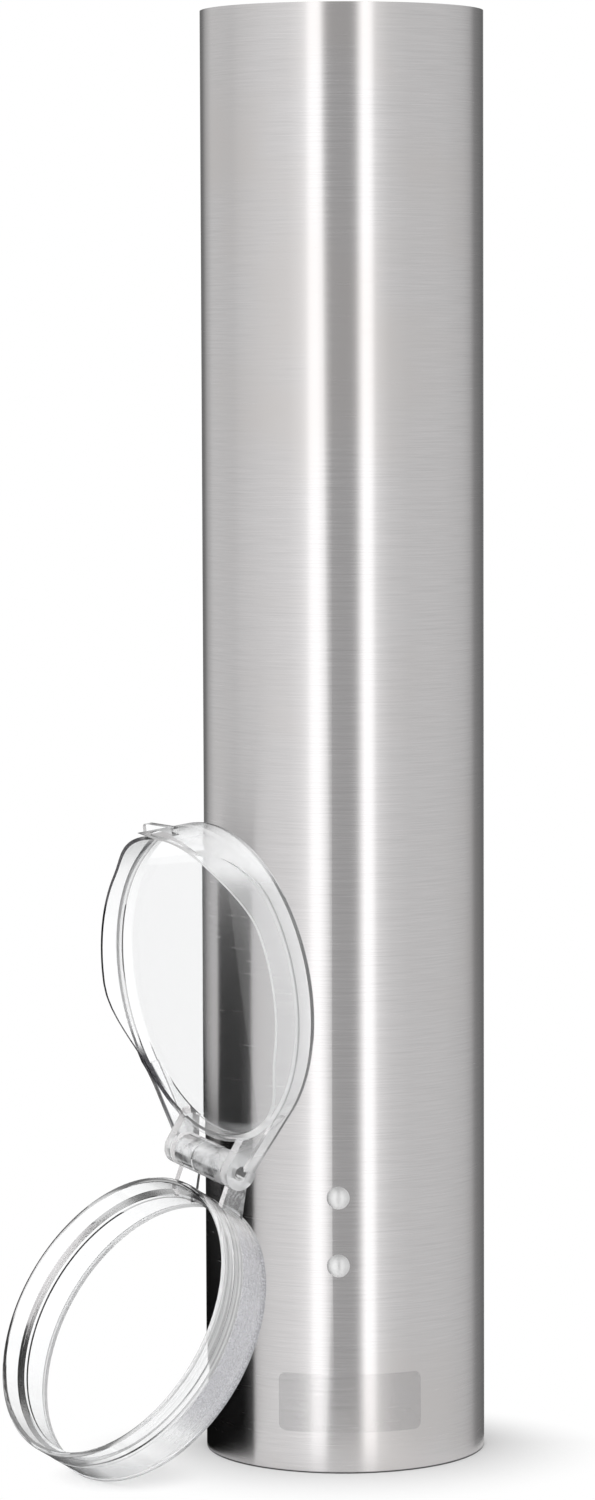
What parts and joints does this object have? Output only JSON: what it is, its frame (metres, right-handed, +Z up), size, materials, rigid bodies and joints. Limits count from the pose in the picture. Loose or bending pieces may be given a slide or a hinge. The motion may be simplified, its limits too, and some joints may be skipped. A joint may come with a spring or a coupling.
{
  "type": "cup dispenser",
  "caption": "Tall brushed steel tube with a wall bracket, spring leaves in its mouth and a clear flip cap that has been taken off and leans beside it.",
  "frame": {"origin": "on the surface that the tube stands on, under the middle of the whole part", "axes": "+Z up along the tube, +Y towards the wall behind it, -Y towards the front with the film and the two rivets"},
  "size_m": [0.1364, 0.1233, 0.4064],
  "materials": {
    "tube_steel": "brushed round the tube, satin",
    "spring_steel": "rolled spring sheet, smooth",
    "rivet_metal": "domed, lightly polished",
    "film": "thin grey see-through film, bare",
    "bracket_steel": "mill finish",
    "clear_plastic": "clear, polished, with a frosted outer skirt on the ring"
  },
  "bodies": {
    "dispenser": {"tube": "tube_steel", "finger_front": "spring_steel", "finger_left": "spring_steel", "finger_right": "spring_steel", "finger_rivets": "rivet_metal", "label_film": "film", "wall_bracket": "bracket_steel", "bracket_rivets": "rivet_metal"},
    "cap": {"cap_ring": "clear_plastic", "hinge_pin": "clear_plastic"},
    "lid": {"flip_lid": "clear_plastic"}
  },
  "joints": [
    {"name": "cap_lift", "type": "slide", "parent": "dispenser", "child": "cap", "axis": [0, 0, 1], "range_m": [0, 0.3]},
    {"name": "lid_hinge", "type": "hinge", "parent": "cap", "child": "lid", "pos_m": [-0.00928, -0.01384, 0.08654], "axis": [-0.5833, 0.8016, 0.1311], "range_deg": [-142.7, 0]}
  ]
}
